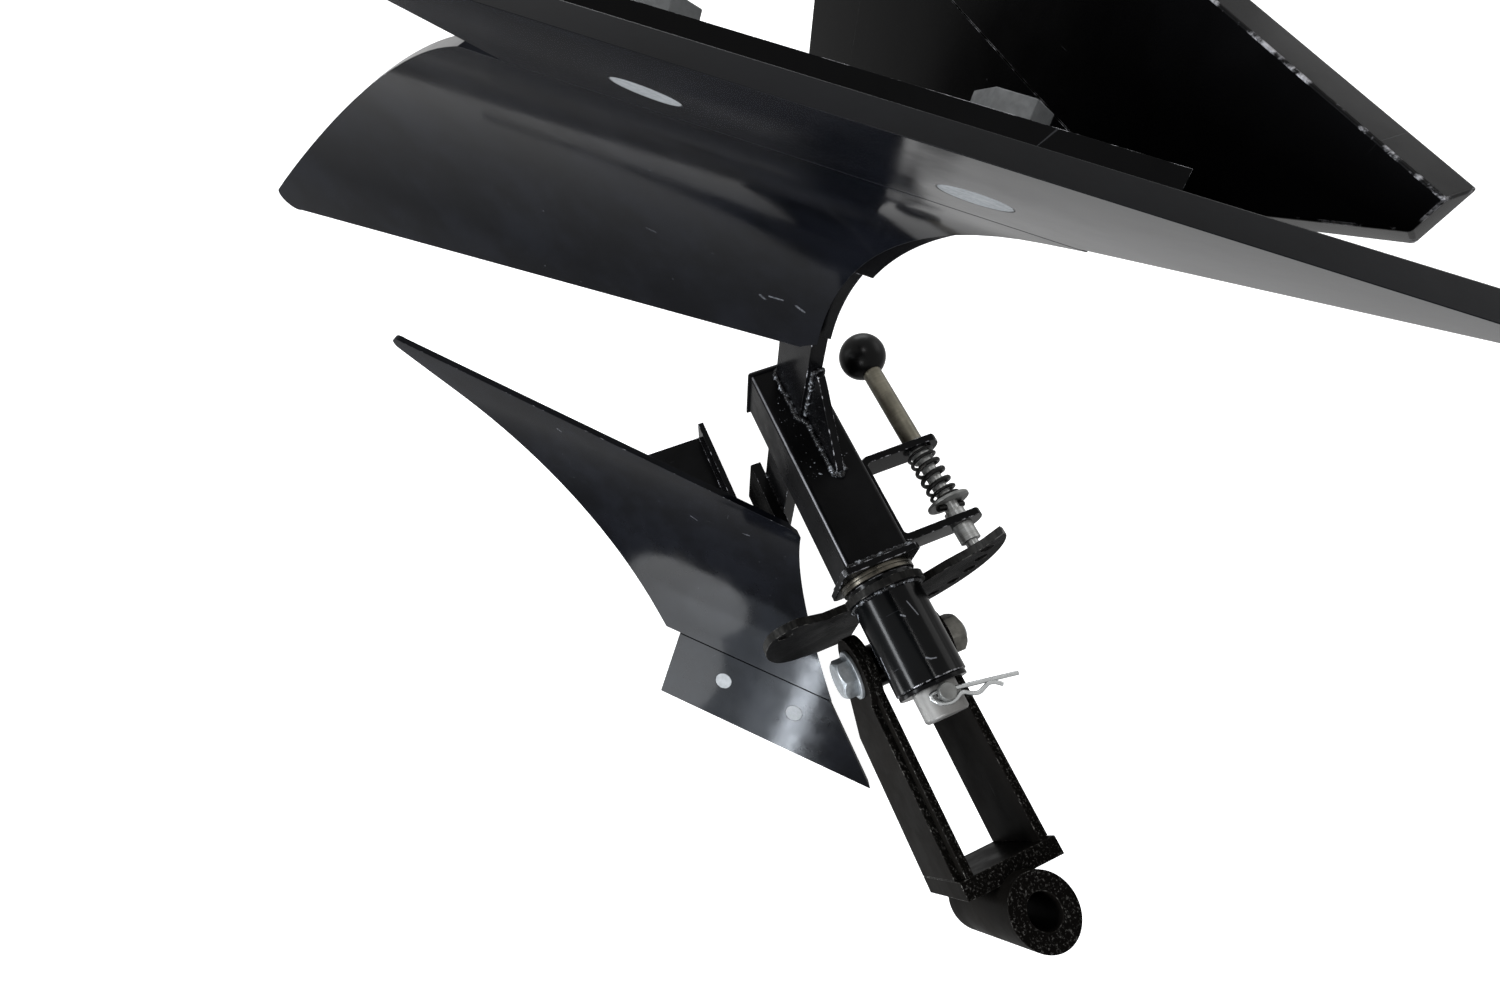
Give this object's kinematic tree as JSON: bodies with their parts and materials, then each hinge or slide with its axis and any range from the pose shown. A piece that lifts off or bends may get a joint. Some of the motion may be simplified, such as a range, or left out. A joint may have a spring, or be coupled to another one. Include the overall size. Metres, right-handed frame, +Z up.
{
  "type": "reversible plough",
  "caption": "Small turnover plough for a walking tractor: two mirrored bottoms on a short beam that turns in a hitch head and locks with a spring pin.",
  "frame": {"origin": "middle of the hitch bore", "axes": "+X in the direction of travel, parallel to the turnover axis, +Y to the left side, +Z up"},
  "size_m": [0.6941, 0.4202, 0.8],
  "materials": {
    "steel_black": "satin black paint",
    "mould": "gloss black paint",
    "zinc": "zinc plated",
    "raw": "bright turned steel",
    "bronze": "oiled steel",
    "spring": "blackened spring wire",
    "knob": "gloss",
    "cap": "matte"
  },
  "bodies": {
    "hitch": {"cheek_left": "steel_black", "cheek_right": "steel_black", "side_plate_left": "steel_black", "side_plate_right": "steel_black", "hitch_plate": "steel_black", "hitch_tube": "steel_black", "pitch_bolt": "zinc", "pitch_nut": "zinc", "pitch_washer_left": "zinc", "pitch_washer_right": "zinc"},
    "head": {"sleeve": "steel_black", "pitch_bush": "steel_black", "index_plate": "steel_black"},
    "lock": {"lock_pin": "raw", "ball_knob": "knob", "roll_pin": "spring", "spring_washer": "zinc"},
    "plough": {"beam": "steel_black", "beam_end_cap": "cap", "beam_flange": "steel_black", "pivot_shaft": "raw", "thrust_ring_1": "bronze", "thrust_ring_2": "bronze", "end_washer": "steel_black", "retaining_pin": "zinc", "hairpin_clip": "zinc", "lock_bracket": "steel_black", "lock_spring": "spring", "mouldboard_lower": "mould", "share_lower": "mould", "share_bolts_lower": "zinc", "frog_lower": "steel_black", "leg_lower": "steel_black", "gusset_lower": "steel_black", "stay_lower": "steel_black", "landside_lower": "steel_black", "mouldboard_upper": "mould", "share_upper": "mould", "share_bolts_upper": "zinc", "frog_upper": "steel_black", "leg_upper": "steel_black", "gusset_upper": "steel_black", "stay_upper": "steel_black", "landside_upper": "steel_black"}
  },
  "joints": [
    {"name": "head_pitch", "type": "hinge", "parent": "hitch", "child": "head", "pos_m": [-0.179, 0, 0.03], "axis": [0, 1, 0], "range_deg": [-8, 5]},
    {"name": "beam_turnover", "type": "hinge", "parent": "head", "child": "plough", "pos_m": [-0.187, 0, 0.072], "axis": [1, 0, 0], "range_deg": [0, 180]},
    {"name": "lock_pin_slide", "type": "slide", "parent": "plough", "child": "lock", "axis": [-1, 0, 0], "range_m": [-0.0075, 0.015], "deforming": ["lock_spring"]}
  ]
}
